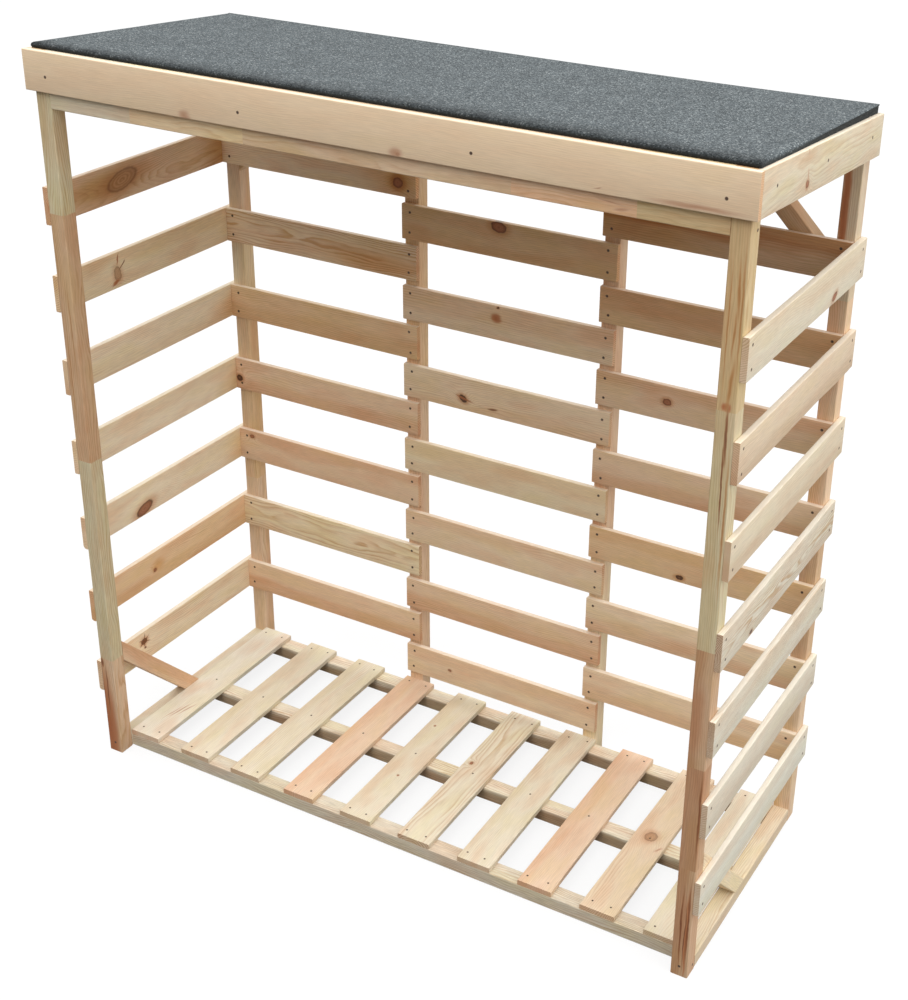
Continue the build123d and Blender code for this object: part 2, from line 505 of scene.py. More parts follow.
        # Noise and trees shift the wood by half their range on the whole, and the pith goes with it.
        shift = [(sway + apart) / 2 for sway, apart in zip(wander, TREES_APART if self.joints else (0, 0, 0))]
        centre = (0.0, self.width / 2 + trunk.reach + shift[1], trunk.depth + shift[2])
        away = add("VectorMath", strayed, centre, operation="SUBTRACT")
        spoke = add("VectorMath", away, (0.0, 1.0, 1.0), operation="MULTIPLY")
        round_pith = add("VectorMath", spoke, operation="LENGTH").outputs["Value"]
        wobble = self.spread(add, trunk.grown, (70, 12, 12), 2.0)
        wobble_mm, push_mm, push_fade = 4.0, 15.0, -0.13
        radius = add("Math", wobble, wobble_mm, round_pith, operation="MULTIPLY_ADD")
        for far in (far for kind, far in near.items() if kind.value.halo):
            square = add("Math", far, far, operation="MULTIPLY")
            fall = add("Math", square, push_fade, operation="MULTIPLY")
            push = add("Math", fall, operation="EXPONENT")
            radius = add("Math", push, push_mm, radius, operation="MULTIPLY_ADD")
        return radius

    def marked(self, add: Adder, colour: Feed, near: dict[Kind, Feed]) -> Feed:
        """Lay the knots, streaks, stains and zones of painted shade over the wood.

        Args:
            add: adds nodes to the material.
            colour: the clear wood.
            near: distances from the marks.

        Returns:
            The colour.
        """
        # Distances from a mark's middle, 1 at its edge.
        halo_ends, bands, half_year, outline = (0.9, 2.2), (0.0, 0.3, 0.65, 0.92), 0.13, 1.12
        for kind, far in near.items():
            look = kind.value
            if look.halo:
                halo = add("MapRange", far, *halo_ends, look.halo, 0.0, **SMOOTH)
                colour = add("Mix", halo, colour, "#DDB69A", **GLAZED)
            core = add("ValToRGB", far, stops=zip(bands, look.colours))
            if look.years:
                saw = add("Math", far, half_year, operation="PINGPONG")
                years = add("MapRange", saw, 0.02, 0.11, 0.0, look.years, **SMOOTH)
                core = add("Mix", years, core, LATE_WOOD, **GLAZED)
            cover = add("MapRange", far, look.sharp, outline, look.cover, 0.0, **SMOOTH)
            colour = add("Mix", cover, colour, core, **(GLAZED if look.tint else LAID_OVER))
        return colour

    def top_highlight_and_end_grain(
        self, add: Adder, colour: Feed, late: Feed, normal: Feed, lie: Lie, top_highlight: float
    ) -> Feed:
        """Paint a highlight on upward faces, and show the rings as dark arcs on pinker sawn ends.

        Args:
            add: adds nodes to the material.
            colour: the marked wood.
            late: share of late wood in the year's ring.
            normal: the surface's own direction.
            lie: how the board lies.
            top_highlight: strength of the painted highlight on upward faces.

        Returns:
            The colour.
        """
        # Painted highlight: faces that look up are laid over with a pale cream, which stands in for the light
        # that they catch.
        if top_highlight:
            upward = add("SeparateXYZ", normal).outputs[2]
            share = add("MapRange", upward, 0.7, 0.95, 0.0, top_highlight, **SMOOTH)
            colour = add("Mix", share, colour, "#F1E8D8", **LAID_OVER)
        facing = add("VectorMath", normal, lie.along, operation="DOT_PRODUCT").outputs["Value"]
        either_way = add("Math", facing, operation="ABSOLUTE")
        end = add("MapRange", either_way, 0.6, 0.8, 0.0, 1.0, **SMOOTH)
        colour = add("Mix", end, colour, "#F8E7DA", **GLAZED)
        strength = add("Math", late, min(1.0, 1.1 * self.grain), operation="MULTIPLY")
        arcs = add("Math", end, strength, operation="MULTIPLY")
        return add("Mix", arcs, colour, LATE_WOOD, **GLAZED)

    def material(self, name: str, lie: Lie, top_highlight: float = 0.0) -> bpy.types.Material:
        """Build the board's wood.

        Args:
            name: name of the material, after its board.
            lie: how the board lies, for the direction of its grain.
            top_highlight: strength of the painted highlight on upward faces.

        Returns:
            The material.
        """
        dice = random.Random(self.seed)
        material, add = new_material(name)
        own = add("TexCoord")
        place = add(
            "Mapping",
            sockets={
                "Vector": own.outputs["Object"],
                "Location": lie.origin,
                "Rotation": lie.turn.to_euler(),
                "Scale": (MM, MM, MM),
            },
            vector_type="TEXTURE",
        )
        sap, heart, grown = self.lengths(add, place, lie, dice)
        trunk = self.trunk(grown, dice)
        near = self.distances(add, place)
        radius = self.radius(add, trunk, near)

        # One year's ring: soft early wood that darkens to a hard late line and stops short.
        years = add("Math", radius, self.ring_mm, operation="DIVIDE")
        year = add("Math", years, operation="FRACT")
        late = add("ValToRGB", year, stops=[(spot, grey(level)) for spot, level in YEAR])
        patch = self.spread(add, grown, (170, 26, 26), 2.0)
        strength = add("MapRange", patch, 0.32, 0.68, 0.3 * self.grain, 1.4 * self.grain, **SMOOTH)
        line = add("Math", late, strength, operation="MULTIPLY")

        # Heartwood, with an uneven border.
        inner = math.hypot(trunk.reach, trunk.depth) + self.width * (self.heart - 0.5)
        uneven_mm, first, last = 30.0, 10.0, 24.0
        border = add("Math", patch, uneven_mm, radius, operation="MULTIPLY_ADD")
        inside = add("MapRange", border, inner + first, inner + last, 1.0, 0.0, **SMOOTH)
        colour = add("Mix", inside, sap, heart, **LAID_OVER)
        colour = add("Mix", line, colour, "#DFC5AA", **GLAZED)

        # Cloudy colour: pinkish and yellowish zones the size of a hand's breadth.
        blotch = self.spread(add, grown, (120, 38, 38), 1.5)
        clouds = add("ValToRGB", blotch, stops=((0.32, "#F8E6DB"), (0.5, "#FFFFFF"), (0.68, "#FBFAE8")))
        colour = add("Mix", self.cloud, colour, clouds, **GLAZED)

        # Fibres: cut cells show as fine dark and light dashes along the grain. The real ones are
        # 0.3 mm wide; they are drawn three times as coarse so that they show.
        fibre = self.spread(add, grown, (24, 1.0, 1.0), 2.5)
        swing, middle = 0.14 * self.fibre, 1.06
        thread = add("MapRange", fibre, 0.25, 0.75, middle - swing, middle + swing)
        colour = add("VectorMath", sockets={"Vector": colour, "Scale": thread}, operation="SCALE")

        colour = self.marked(add, colour, near)
        colour = self.top_highlight_and_end_grain(add, colour, late, own.outputs["Normal"], lie, top_highlight)
        rough = add("MapRange", line, 0.0, 0.8, 0.68, 0.52)
        relief = add("Math", line, 0.7, fibre, operation="MULTIPLY_ADD")
        bump = add("Bump", sockets={"Strength": 0.4, "Distance": 0.0004, "Height": relief})
        skin = add(
            "BsdfPrincipled",
            sockets={"Base Color": colour, "Roughness": rough, "Normal": bump, **ORGANIC},
        )
        add("OutputMaterial", skin)
        return material


# ------------------------------------------------------------------ felt and nails
@dataclass(frozen=True)
class MineralFelt:
    """Bitumen roofing felt faced with slate granules: a dull charcoal sheet with pale and black grit."""

    front: float  # front edge of the sheet, metres
    grit_mm: float = 2.0  # real grit is 0.8 mm, drawn coarser so that it shows
    patches: float = 24.0  # paler and darker patches to a metre
    grit: tuple[tuple[float, str], ...] = (
        (0.0, "#3A3F41"),
        (0.25, "#50575A"),
        (0.55, "#61686B"),
        (0.8, "#727A7D"),
        (0.93, "#8B9293"),
        (1.0, "#B0B5B5"),
    )
    front_darkening: tuple[tuple[float, float], ...] = (
        (0.0, 0.33), (0.09, 0.45), (0.19, 0.58), (0.28, 0.66), (0.46, 0.8), (0.65, 0.9), (1.0, 1.0),
    )

    def material(self) -> bpy.types.Material:
        """Build the felt.

        Returns:
            The material.
        """
        material, add = new_material("slate_faced_roofing_felt")
        own = add("TexCoord")
        here, normal = own.outputs["Object"], own.outputs["Normal"]
        grains = add("TexVoronoi", sockets={"Vector": here, "Scale": 1 / (self.grit_mm * MM)})
        toss = add("SeparateColor", grains.outputs["Color"])
        speckle = add("ValToRGB", toss, stops=self.grit)
        cloud = add("TexNoise", sockets={"Vector": here, "Scale": self.patches, "Detail": 3.0})
        soft = add("MapRange", cloud, 0.3, 0.7, 0.76, 0.91)
        colour = add("VectorMath", sockets={"Vector": speckle, "Scale": soft}, operation="SCALE")

        # The felt darkens over the last 60 to 95 mm before the front edge.
        where = add("SeparateXYZ", here)
        reach = add("Math", cloud, 0.03, where.outputs[1], operation="MULTIPLY_ADD")
        darkening_depth = add("MapRange", where.outputs[0], -0.65, 0.0, 0.06, 0.095)
        back = add("Math", darkening_depth, self.front, operation="ADD")
        share = add("MapRange", reach, self.front + 0.013, back)
        front_darkened = add("ValToRGB", share, stops=[(spot, grey(level)) for spot, level in self.front_darkening])
        colour = add("VectorMath", colour, front_darkened, operation="MULTIPLY")

        # Painted shade: the turned-down edge darkens to near black as its surface turns from facing up to
        # facing down.
        upward = add("SeparateXYZ", normal).outputs[2]
        down_facing_shade = add("MapRange", upward, 0.6, 0.0, 0.0, 0.88)
        colour = add("Mix", down_facing_shade, colour, "#1E2121", **LAID_OVER)
        relief = {"Strength": 0.6, "Distance": 0.0006, "Height": grains.outputs["Distance"]}
        bump = add("Bump", sockets=relief)
        skin = add(
            "BsdfPrincipled",
            sockets={"Base Color": colour, "Roughness": 0.92, "Normal": bump, **ORGANIC},
        )
        add("OutputMaterial", skin)
        return material


@dataclass(frozen=True)
class NailFinish:
    """Wire nails punched just below the wood: a dull grey head in a dark ring, which is painted shadow of the
    punched hole.
    """

    head: str = "#41352C"
    # painted shadow of the punched hole round the head
    hole_shadow: str = "#6A4F3B"
    spot_mm: float = 0.5  # rust and dirt

    def materials(self) -> list[bpy.types.Material]:
        """Build both materials.

        Returns:
            The head's and the ring's.
        """
        made = []
        for name, code, metal, rough in (
            ("drawn_steel_nail_head", self.head, 0.2, 0.55),
            ("nail_hole_painted_shadow", self.hole_shadow, 0.0, 0.85),
        ):
            material, add = new_material(name)
            here = add("TexCoord").outputs["Object"]
            spots = add("TexNoise", sockets={"Vector": here, "Scale": 1 / (self.spot_mm * MM), "Detail": 2.0})
            level = add("MapRange", spots, 0.3, 0.7, 0.7, 1.3)
            tint = add("VectorMath", sockets={"Vector": srgb(code)[:3], "Scale": level}, operation="SCALE")
            skin = add("BsdfPrincipled", sockets={"Base Color": tint, "Roughness": rough, "Metallic": metal})
            add("OutputMaterial", skin)
            made.append(material)
        return made


@dataclass
class Nails:
    """Nail heads driven into boards, turned as shallow punched cups."""

    finish: Sequence[bpy.types.Material]
    head_mm: float = 3.2
    sides: int = 12
    proud_mm: float = 0.12
    middle: float = 0.35  # height of the head's middle; heights are shares of proud_mm
    # Radius as a share of the head's, and height, from the head out over the ring.
    section: tuple[tuple[float, float], ...] = (
        (0.75, 0.3), (1.0, 0.1), (1.08, 0.05), (1.22, 0.95), (1.5, 0.4), (1.75, 0.02),
    )

    def drive(self, shape: bmesh.types.BMesh, spot: Vector, out: Vector, first: int = 0) -> None:
        """Add one nail.

        Args:
            shape: mesh that gets the nail.
            spot: middle of the nail on the wood's face, in metres.
            out: direction out of the wood.
            first: number of the head's material; the ring's is one more.
        """
        turn = out.to_track_quat("Z", "Y")

        def at(radius: float, height: float, step: float) -> bmesh.types.BMVert:
            """Add a point of the nail's turned section.

            Args:
                radius: distance from the nail's middle in millimetres.
                height: height above the wood, as a share of proud_mm.
                step: number of the side.

            Returns:
                The point.
            """
            angle = 2 * math.pi * step / self.sides
            flat = Vector((radius * math.cos(angle), radius * math.sin(angle), height * self.proud_mm))
            return shape.verts.new(spot + turn @ (flat * MM))

        middle = at(0.0, self.middle, 0)
        r = self.head_mm / 2
        rings = [[at(share * r, height, k) for k in range(self.sides)] for share, height in self.section]
        for k in range(self.sides):
            after = (k + 1) % self.sides
            shape.faces.new((middle, rings[0][k], rings[0][after])).material_index = first
            for number, (inner, outer) in enumerate(zip(rings, rings[1:])):
                face = shape.faces.new((inner[k], outer[k], outer[after], inner[after]))
                face.material_index = first + (number > 0)

    def build(self, name: str, slot: str, spots: Iterable[Spot]) -> bpy.types.Object:
        """Build a piece of loose nails.

        Args:
            name: name of the piece.
            slot: not used.
            spots: place and outward direction of each nail.

        Returns:
            The piece.
        """
        shape = bmesh.new()
        for spot, out in spots:
            self.drive(shape, spot, out)
        return add_piece(name, shape, self.finish, crease=60.0)


# ------------------------------------------------------------------ nailed boards
@dataclass
class NailedBoard:
    """A planed board with soft, slightly uneven arrises and its nails.

    The face that takes the nails is planed back a hair, so that the nails stay inside the board's
    own thickness. All sizes are in millimetres.
    """

    name: str
    node: str
    wood: Pine
    lie: Lie
    width: float
    thick: float
    outward: int  # side that the nails enter, 1 or -1 through the thickness
    holes: Sequence[tuple[float, float]]  # nails, along and across
    arris: float = 1.6
    arris_steps: int = 3
    wane: float = 0.0  # how far bark has rounded the lower outer edge
    most_wane: float = 5.0
    bark_run: float = 130.0  # how fast the bark's edge comes and goes along the board
    uneven: float = 0.12  # how far the arrises stray
    planed: float = 0.15
    station: float = 30.0  # from one outline to the next
    fewest_bays: int = 18
    end_round: float = 0.3
    stray: tuple[float, float] = (2.5, 2.0)  # how far a nail is from its place, along and across
    # strength of the painted highlight on upward faces
    top_highlight: float = 0.55

    def section(self, u: float, inset: float, phase: float) -> list[Vector]:
        """The board's outline at one station.

        Args:
            u: station in millimetres along the board.
            inset: how far the outline is drawn in, at the ends.
            phase: shifts the uneven edges from board to board.

        Returns:
            Points round the outline.
        """
        bark = self.wane * max(0.0, noise.noise(Vector((u / self.bark_run, phase, 0))) + 0.35)
        quarter = range(self.arris_steps + 1)
        ring = []
        for upper, side in ((0, 1), (1, 1), (1, -1), (0, -1)):
            waned = not upper and side == self.outward
            soft = self.arris + (min(bark, self.most_wane) if waned else 0.0)
            uneven = self.uneven * abs(noise.noise(Vector((u / 9, phase + upper * 5, side * 3))))
            v0 = self.width - soft - inset if upper else soft + inset
            face = self.thick / 2 - inset - (self.planed if side == self.outward else 0.0)
            for step in quarter if upper == (side > 0) else reversed(quarter):
                turn = math.radians(90 * step / self.arris_steps)
                v = v0 + (1 if upper else -1) * (soft - uneven) * math.sin(turn)
                w = side * (face - soft + soft * math.cos(turn))
                ring.append(self.lie.point(u, v, w))
        return ring

    def build(self, nails: Nails) -> bpy.types.Object:
        """Build the board and drive its nails.

        Args:
            nails: the nails to drive.

        Returns:
            The piece.
        """
        dice = random.Random(self.wood.seed)
        phase = dice.uniform(0, 9)
        length = self.lie.length / MM
        bays = max(self.fewest_bays, round(length / self.station))
        second = 0.35  # the outline after the rounded end
        stations = [0.0, second, *(length * k / bays for k in range(1, bays)), length - second, length]
        shape = bmesh.new()
        rings = []
        for u in stations:
            points = self.section(u, self.end_round if u in (0.0, length) else 0.0, phase)
            rings.append([shape.verts.new(point) for point in points])
        for near, far in zip(rings, rings[1:]):
            for k, corner in enumerate(near):
                after = (k + 1) % len(near)
                shape.faces.new((corner, near[after], far[after], far[k]))
        shape.faces.new(rings[0])
        shape.faces.new(rings[-1])
        out = self.lie.turn @ Vector((0, 0, self.outward))
        face = self.outward * (self.thick / 2 - self.planed + 0.01)
        for place in self.holes:
            u, v = (at + dice.uniform(-far, far) for at, far in zip(place, self.stray))
            nails.drive(shape, self.lie.point(u, v, face), out, 1)
        wood = self.wood.material(f"{self.name}_planed_pine", self.lie, self.top_highlight)
        return add_piece(self.name, shape, [wood, *nails.finish], self.node)


@dataclass
class SlatLadder:
    """Seven slats nailed one above the other to two posts, built one by one over their CAD node."""

    node: str
    along: str
    outward: int
    boards: Sequence[Pine]  # from the bottom up
    waned: dict[int, float] = field(default_factory=dict)  # slats with a wany lower edge
    width: float = 70.0
    nail_end: float = 17.0
    nail_edge: float = 15.0

    def build(self, nails: Nails) -> list[bpy.types.Object]:
        """Build all the slats.

        Args:
            nails: the nails to drive.

        Returns:
            The slats.
        """
        low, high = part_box(self.node)
        size = (high - low) / MM
        length, thick = (size.y, size.x) if self.along == "Y" else (size.x, size.y)
        pitch = (size.z - self.width) / (len(self.boards) - 1)
        ends = (self.nail_end, length - self.nail_end)
        edges = (self.nail_edge, self.width - self.nail_edge)
        holes = [(u, v) for u in ends for v in edges]
        slats = []
        for number, wood in enumerate(self.boards):
            bottom = low + Z * (number * pitch * MM)
            top = Vector((high.x, high.y, bottom.z + self.width * MM))
            lie = Lie.of(bottom, top, self.along, "Z")
            name, wane = f"{self.node}_{number + 1}", self.waned.get(number, 0.0)
            slat = NailedBoard(name, self.node, wood, lie, self.width, thick, self.outward, holes, wane=wane)
            slats.append(slat.build(nails))
        return slats


# ------------------------------------------------------------------ frame
@dataclass
class TimberFrame:
    """Posts, headers, rails, rafters and braces of 32 mm square softwood."""

    stick: float = 32.0
    header: float = 100.0
    nail_heights: tuple[float, float] = (14.0, 1356.0)  # into the bottom rail and the header
    nail_back: float = 22.5  # these nails, from the post's front face
    foot_nail: float = 21.0  # height of the nail in each post's front

    def members(self) -> dict[str, tuple[str, str, Pine]]:
        """Choose the wood of each straight member.

        Returns:
            The axes that its grain and its width follow, and its wood, by CAD node.
        """
        t, rift = self.stick, Cut.RIFT
        brown, green, olive, tawny, oat = Tone.BROWN, Tone.GREEN, Tone.OLIVE, Tone.TAWNY, Tone.OAT
        amber, honey, pink, straw = Tone.AMBER, Tone.HONEY, Tone.PINK, Tone.STRAW
        resin, pith, rust, faint = Kind.RESIN, Kind.PITH, Kind.RUST, Kind.FAINT
        left_marks = (
            Mark(55, 6, 380, 58, rust, -2),
            Mark(120, 1, 260, 4, pith),
            Mark(150, 12, 150, 5, pith),
            Mark(214, 5, 26, 10, pith),
            Mark(850, 9, 300, 4, resin, 0.4),
            Mark(940, 22, 260, 4, resin, -0.4),
        )
        right_marks = (
            Mark(1215, 8, 300, 3.5, resin, 0.4),
            Mark(1270, 21, 130, 7, resin, -2),
            Mark(1205, 19, 120, 5, resin, 2),
            Mark(1240, 27, 280, 6, resin),
            Mark(900, 27, 330, 5, resin),
            Mark(1128, 20, 110, 10, resin, 5),
            Mark(1092, 16, 20, 20, rust),
            Mark(1045, 19, 120, 6, pith, -1),
            Mark(965, 18, 190, 4, pith, -1),
            Mark(350, 29, 220, 6, pith),
            Mark(110, 13, 230, 5, pith),
            Mark(90, 21, 190, 3.5, pith, 0.5),
            Mark(120, 26, 240, 5, pith),
            Mark(90, 24, 260, 6, rust),
        )
        header_marks = (Mark(1080, 9, 40, 7, faint, 8), Mark(1060, 18, 60, 4, faint, -6))
        members = {
            "front_post_left": ("Z", "X", Pine(
                11, (oat, green, tawny, green), (223.0, 669.0, 1157.0), rift, t, ring_mm=3.0, heart=0.5,
                grain=0.7, fibre=1.1, marks=left_marks)),
            "front_post_right": ("Z", "X", Pine(
                12, (brown, brown, brown, green, olive), (235.0, 446.0, 671.0, 1084.0), rift, t, ring_mm=3.8,
                heart=0.7, grain=0.5, fibre=0.9, marks=right_marks, pith=(-12.0, -14.0))),
            "front_header": ("X", "Z", Pine(
                13, (Tone.SAND, straw, oat, pink, olive), (175.0, 408.0, 898.0, 1100.0), rift, self.header,
                grain=0.4, marks=header_marks)),
            "back_header": ("X", "Z", Pine(14, (honey, straw, pink), (380.0, 860.0), rift, self.header)),
            "back_post_4": ("Z", "X", Pine(
                18, (oat, tawny, pink, Tone.ROSY), (380.0, 640.0, 1095.0), rift, t,
                marks=(Mark(1250, 8, 320, 18, rust),))),
        }
        for number, tones, joints in (
            (1, (pink, amber, straw, pink), (420.0, 810.0, 1010.0)),
            (2, (pink, amber), (780.0,)),
            (3, (straw, pink), (520.0,)),
        ):
            members[f"back_post_{number}"] = ("Z", "X", Pine(14 + number, tones, joints, rift, t))
        rails = {
            "bottom_rail_left": Tone.CREAM,
            "bottom_rail_right": Tone.SAND,
            "top_rail_left": honey,
            "top_rail_right": pink,
            "rafter_left": straw,
            "rafter_right": pink,
        }
        for seed, (node, tone) in enumerate(rails.items(), 20):
            members[node] = ("Y", "X", Pine(seed, (tone,), cut=rift, width=t))
        return members

    def boards(self) -> dict[str, tuple[Lie, Pine]]:
        """Lay out every member.

        Returns:
            Each member's lie and wood, by CAD node.
        """
        made = {node: (Lie.of_node(node, *way), wood) for node, (*way, wood) in self.members().items()}
        for seed, node, along, across, tone in (
            (30, "brace_left", Y - Z, X, Tone.PINK),
            (31, "brace_right", Y - Z, X, Tone.STRAW),
            (32, "knee_brace_left", X + Z, Y, Tone.HONEY),
            (33, "knee_brace_right", Z - X, Y, Tone.TAWNY),
        ):
            wood = Pine(seed, (tone,), cut=Cut.RIFT, width=0.0, ring_mm=3.0, grain=0.35)
            made[node] = (Lie.slanting(node, along, across), wood)
        return made

    def nail_spots(self) -> list[Spot]:
        """Place the nails in the front posts' outer faces, at the header and the bottom rails.

        Returns:
            The nails' places.
        """
        spots = []
        for side, node in ((-1, "front_post_left"), (1, "front_post_right")):
            low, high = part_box(node)
            outer = low.x if side < 0 else high.x
            for height in self.nail_heights:
                spots.append((Vector((outer, low.y + self.nail_back * MM, height * MM)), X * side))
            spots.append((Vector(((low.x + high.x) / 2, low.y, self.foot_nail * MM)), -Y))
        return spots

    def build(self, nails: Nails) -> list[bpy.types.Object]:
        """Dress every member and drive the nails that hold the frame.

        Args:
            nails: the nails to drive.

        Returns:
            The members and the nails.
        """
        dressed = [
            dress(node, wood.material(f"{node}_planed_pine", lie))
            for node, (lie, wood) in self.boards().items()
        ]
        return [*dressed, nails.build("frame_nails", "front_post_right", self.nail_spots())]


# ------------------------------------------------------------------ floor
@dataclass
class Floor:
    """Ten slats nailed across three bearers. Nail places are in millimetres."""

    nail_end: float = 18.0  # from a slat's end
    nail_side: float = 20.0  # from its middle line
    nail_middle: float = 17.0  # behind the middle bearer's front
    stray: tuple[float, float] = (2.0, 3.0)  # how far a nail is from its place, across and along

    def bearers(self) -> dict[str, Pine]:
        """Choose the bearers' woods. The middle and back ones have their pith given below their front edge,
        so that dark heartwood paints shade on their lower front faces.

        Returns:
            The woods by CAD node.
        """
        woods = {}
        for seed, (node, tone, pith) in enumerate((
            ("bearer_front", Tone.PALE, None),
            # Painted shade: the middle and back bearers' dark heartwood lies at their lower front.
            ("bearer_middle", Tone.SHADE_HEART, (-12.0, -16.0)),
            ("bearer_back", Tone.SHADE_HEART, (-12.0, -16.0)),
        ), 40):
            woods[node] = Pine(seed, (tone,), cut=Cut.RIFT, width=35.0, grain=0.8, fibre=1.7, pith=pith)
        return woods

    def slats(self) -> list[Pine]:
        """Choose the slats' woods.

        Returns:
            The woods from the left.
        """
        cream, orange, lime, shell = (
            (tone,) for tone in (Tone.CREAM, Tone.ORANGE, Tone.LIME, Tone.SHELL)
        )
        quarter, rift, faint = Cut.QUARTER, Cut.RIFT, Kind.FAINT
        streaks = (
            Mark(92, 34, 70, 4, faint, 8),
            Mark(104, 42, 80, 5, faint, 10),
            Mark(112, 52, 70, 4, faint, 12),
        )
        dots = (Mark(330, 20, 5, 4), Mark(150, 45, 4, 4))
        knots = (Mark(235, 34, 28, 24, Kind.RING), Mark(206, 62, 24, 8, faint, 30))
        smooth = partial(Pine, fibre=0.75)
        return [
            smooth(50, lime, cut=rift, heart=-1, grain=0.3, marks=streaks),
            smooth(51, cream, cut=quarter, grain=0.35),
            smooth(52, cream, cut=rift, grain=0.35),
            smooth(53, orange, cut=quarter, grain=0.3),
            smooth(54, cream, cut=rift, grain=0.35, marks=dots),
            smooth(55, cream, cut=Cut.FLAT, grain=0.6, ring_mm=5.0, marks=(Mark(259, 18, 9, 7),)),
            smooth(56, cream, cut=rift, grain=0.3),
            smooth(57, orange, cut=quarter, grain=0.3),
            smooth(58, shell, cut=rift, heart=-1, grain=0.4, marks=knots),
            smooth(59, cream, cut=rift, grain=0.3),
        ]

    def build(self, nails: Nails) -> list[bpy.types.Object]:
        """Dress the bearers and slats and nail them.

        Args:
            nails: the nails to drive.

        Returns:
            The bearers, slats and nails.
        """
        dressed = [
            dress(node, wood.material(f"{node}_sawn_pine", Lie.of_node(node, "X", "Y")))
            for node, wood in self.bearers().items()
        ]
        middle_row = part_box("bearer_middle")[0].y + self.nail_middle * MM
        stray_x, stray_y = (far * MM for far in self.stray)
        spots: list[Spot] = []
        dice = random.Random(5)
        for number, wood in enumerate(self.slats(), 1):
            node = f"floor_slat_{number:02d}"
            dressed.append(dress(node, wood.material(f"{node}_planed_pine", Lie.of_node(node, "Y", "X"))))
            low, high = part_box(node)
            end, pair, single = self.nail_end * MM, (-1, 1), (0,)
            for y, sides in ((low.y + end, pair), (middle_row, single), (high.y - end, pair)):
                for side in sides:
                    x = (low.x + high.x) / 2 + side * self.nail_side * MM + dice.uniform(-stray_x, stray_x)
                    spots.append((Vector((x, y + dice.uniform(-stray_y, stray_y), high.z)), Z))
        return [*dressed, nails.build("floor_nails", "floor_slat_01", spots)]


# ------------------------------------------------------------------ fascia and roof
def roof_fall() -> float:
    """Drop of the roof for each metre from front to back."""
    front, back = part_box("front_post_left"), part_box("back_post_1")
    return (front[1].z - back[1].z) / (back[0].y - front[0].y)


@dataclass
class Fascia:
    """Four boards round the roof's edge, nailed to the frame behind them."""

    width: float = 70.0
    nail_drop: float = 44.0  # nails below the front board's top edge
    nail_inset: float = 20.0  # end nails inwards of the posts' middles
    side_nails: tuple[tuple[float, float], ...] = ((57.0, 37.0), (271.0, 38.0), (484.0, 39.0))

    def level_board(self, node: str, outward: int, wood: Pine) -> NailedBoard:
        """The front or back board.

        Args:
            node: CAD node that it stands for.
            outward: side that faces out.
            wood: its wood.

        Returns:
            The board.
        """
        low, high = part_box(node)
        posts = ("front_post_left", "rafter_left", "rafter_right", "front_post_right")
        middles = [sum(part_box(post), Vector()).x / 2 for post in posts]
        ends = (self.nail_inset, 0.0, 0.0, -self.nail_inset)
        holes = [((x - low.x) / MM + end, self.width - self.nail_drop) for x, end in zip(middles, ends)]
        lie, thick = Lie.of(low, high, "X", "Z"), (high.y - low.y) / MM
        return NailedBoard(node + "_board", node, wood, lie, self.width, thick, outward, holes)

    def sloping_board(self, node: str, outward: int, wood: Pine) -> NailedBoard:
        """A side board, which follows the roof.

        Args:
            node: CAD node that it stands for.
            outward: side that faces out.
            wood: its wood.

        Returns:
            The board.
        """
        low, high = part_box(node)
        origin = Vector(((low.x + high.x) / 2, low.y, high.z - self.width * MM))
        lie, thick = Lie(origin, Y, Z, high.y - low.y, roof_fall()), (high.x - low.x) / MM
        return NailedBoard(node + "_board", node, wood, lie, self.width, thick, outward, self.side_nails)

    def build(self, nails: Nails) -> list[bpy.types.Object]:
        """Build the four boards.

        Args:
            nails: the nails to drive.

        Returns:
            The boards.
        """
        faint = Kind.FAINT
        front_marks = (
            Mark(344, 5, 32, 26, faint),
            Mark(748, 6, 34, 26, faint),
            Mark(752, 5, 6, 4),
            Mark(1089, 8, 22, 2.5, faint, 12),
            Mark(1240, 6, 190, 12, faint),
        )
        right_marks = (Mark(183, 5, 12, 12), Mark(184, 18, 6, 32, faint), Mark(179, 58, 5, 30, faint))
        front = Pine(
            61, (Tone.BEIGE,), ring_mm=3.0, heart=-1, grain=0.2, fibre=0.6, cloud=0.2, marks=front_marks
        )
        right = Pine(62, (Tone.SAND,), cut=Cut.FLAT, ring_mm=5.0, grain=0.45, marks=right_marks)
        left = Pine(63, (Tone.BLUSH,), cut=Cut.RIFT)
        back = Pine(64, (Tone.STRAW,), cut=Cut.RIFT, marks=(Mark(420, 40, 14, 10),))
        boards = (
            self.level_board("fascia_front", 1, front),
            self.level_board("fascia_back", -1, back),
            self.sloping_board("fascia_left", -1, left),
            self.sloping_board("fascia_right", 1, right),
        )
        return [board.build(nails) for board in boards]


